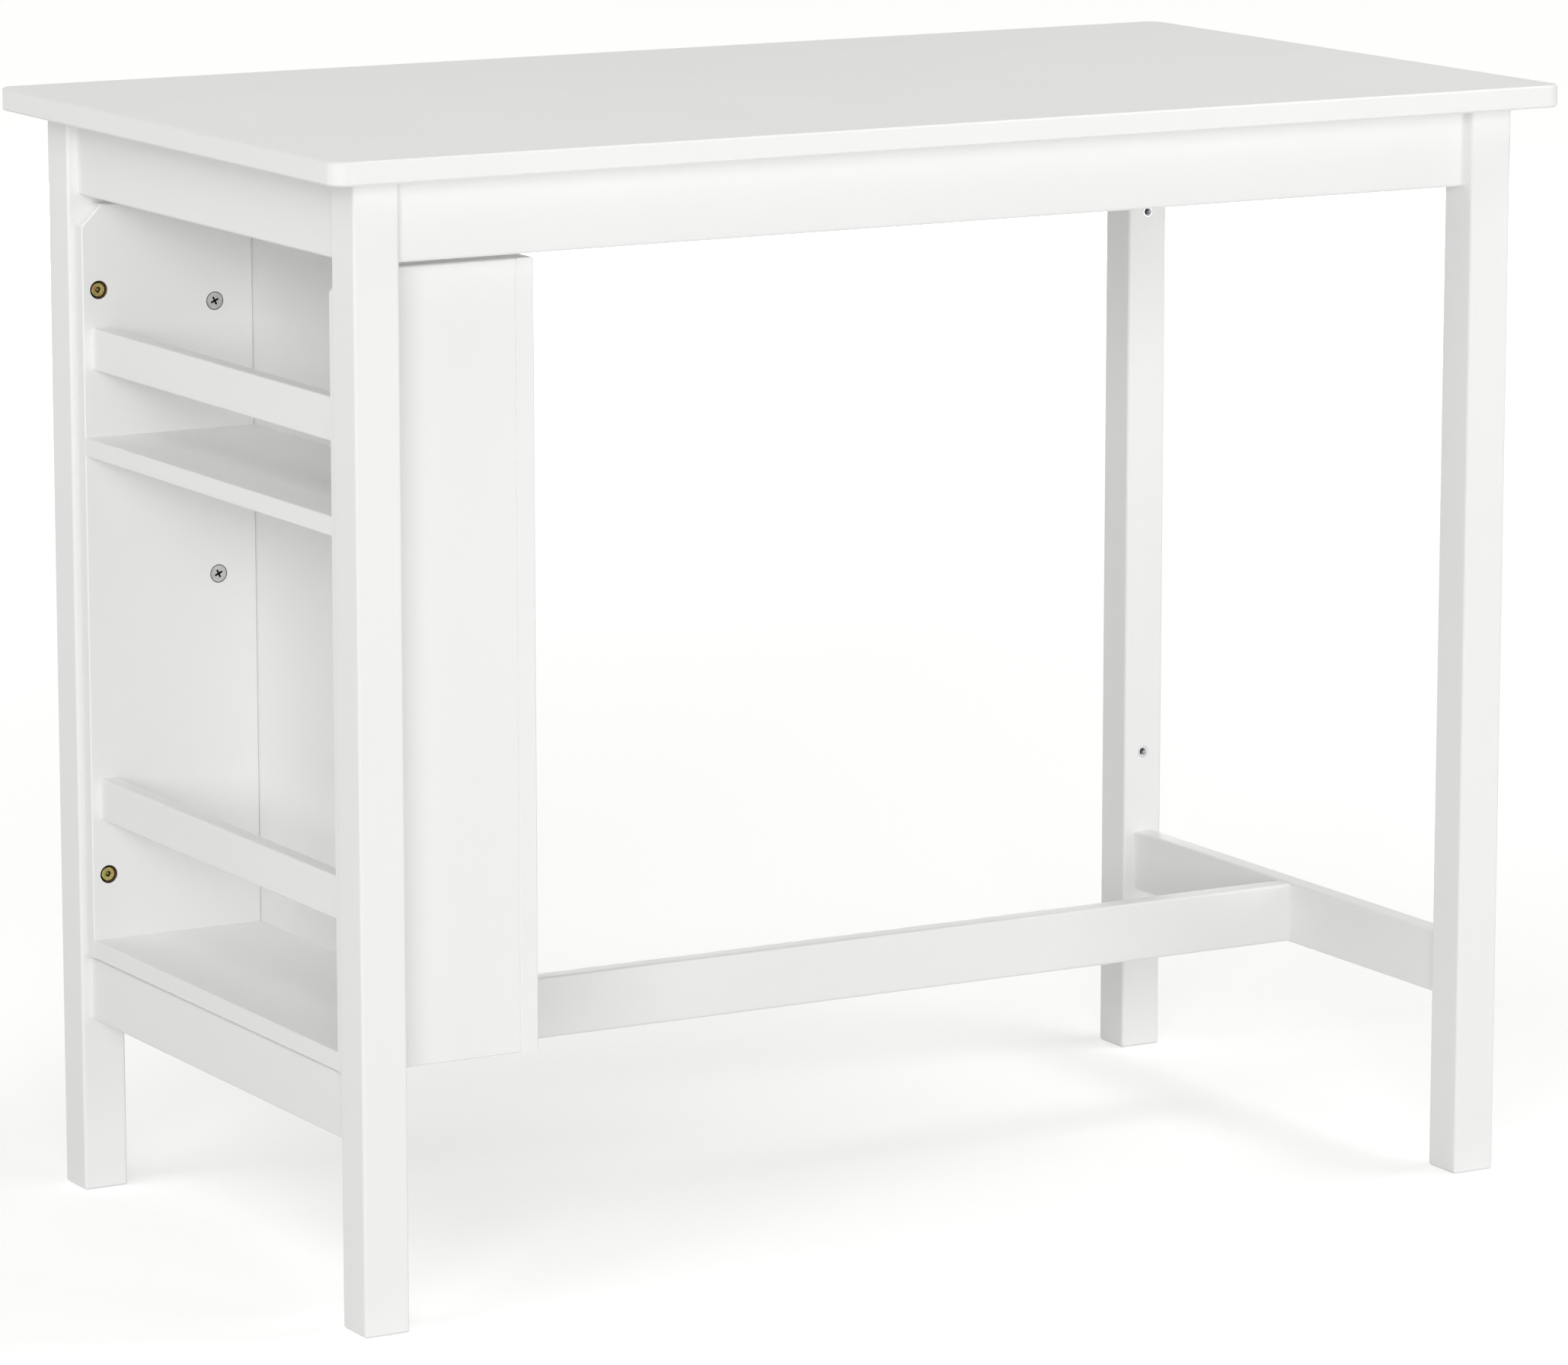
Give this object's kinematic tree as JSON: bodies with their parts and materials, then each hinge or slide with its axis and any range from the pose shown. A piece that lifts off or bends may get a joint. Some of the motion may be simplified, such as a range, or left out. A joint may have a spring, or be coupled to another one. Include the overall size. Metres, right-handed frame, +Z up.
{
  "type": "bar table with shelf unit",
  "caption": "Tall rectangular bar table on square legs, with aprons, low stretchers and an open-ended shelf unit with guard rails at one end.",
  "frame": {"origin": "on the floor, under the middle of the top", "axes": "+X along the table away from the shelf unit, +Y from the front to the back, +Z up"},
  "size_m": [1.1, 0.61, 0.9],
  "materials": {
    "white_paint": "satin white paint",
    "yellow_zinc": "yellow zinc plate",
    "bright_steel": "bright zinc plate",
    "zinc_alloy": "as die-cast",
    "bare_wood": "bare pine"
  },
  "bodies": {
    "table": {"table_top": "white_paint", "leg_front_left": "white_paint", "leg_front_right": "white_paint", "leg_back_left": "white_paint", "leg_back_right": "white_paint", "apron_front": "white_paint", "apron_back": "white_paint", "apron_left": "white_paint", "apron_right": "white_paint", "stretcher_left": "white_paint", "stretcher_right": "white_paint", "stretcher_long": "white_paint", "side_panel_front": "white_paint", "side_panel_back": "white_paint", "divider_panel": "white_paint", "shelf_bottom": "white_paint", "shelf_upper": "white_paint", "guard_rail_lower": "white_paint", "guard_rail_upper": "white_paint", "glue_blocks": "bare_wood", "panel_bolts": "yellow_zinc", "leg_inserts": "bright_steel", "cam_bolts": "bright_steel"},
    "cam_lock_front_upper": {"cam_lock_front_upper": "zinc_alloy"},
    "cam_lock_front_middle": {"cam_lock_front_middle": "zinc_alloy"},
    "cam_lock_front_lower": {"cam_lock_front_lower": "zinc_alloy"},
    "cam_lock_back_upper": {"cam_lock_back_upper": "zinc_alloy"},
    "cam_lock_back_middle": {"cam_lock_back_middle": "zinc_alloy"},
    "cam_lock_back_lower": {"cam_lock_back_lower": "zinc_alloy"}
  },
  "joints": [
    {"name": "cam_turn_front_upper", "type": "hinge", "parent": "table", "child": "cam_lock_front_upper", "pos_m": [-0.399, -0.222, 0.727], "axis": [0, 1, 0], "range_deg": [0, 180]},
    {"name": "cam_turn_front_middle", "type": "hinge", "parent": "table", "child": "cam_lock_front_middle", "pos_m": [-0.399, -0.222, 0.504], "axis": [0, 1, 0], "range_deg": [0, 180]},
    {"name": "cam_turn_front_lower", "type": "hinge", "parent": "table", "child": "cam_lock_front_lower", "pos_m": [-0.399, -0.222, 0.281], "axis": [0, 1, 0], "range_deg": [0, 180]},
    {"name": "cam_turn_back_upper", "type": "hinge", "parent": "table", "child": "cam_lock_back_upper", "pos_m": [-0.399, 0.222, 0.727], "axis": [0, -1, 0], "range_deg": [0, 180]},
    {"name": "cam_turn_back_middle", "type": "hinge", "parent": "table", "child": "cam_lock_back_middle", "pos_m": [-0.399, 0.222, 0.504], "axis": [0, -1, 0], "range_deg": [0, 180]},
    {"name": "cam_turn_back_lower", "type": "hinge", "parent": "table", "child": "cam_lock_back_lower", "pos_m": [-0.399, 0.222, 0.281], "axis": [0, -1, 0], "range_deg": [0, 180]}
  ]
}
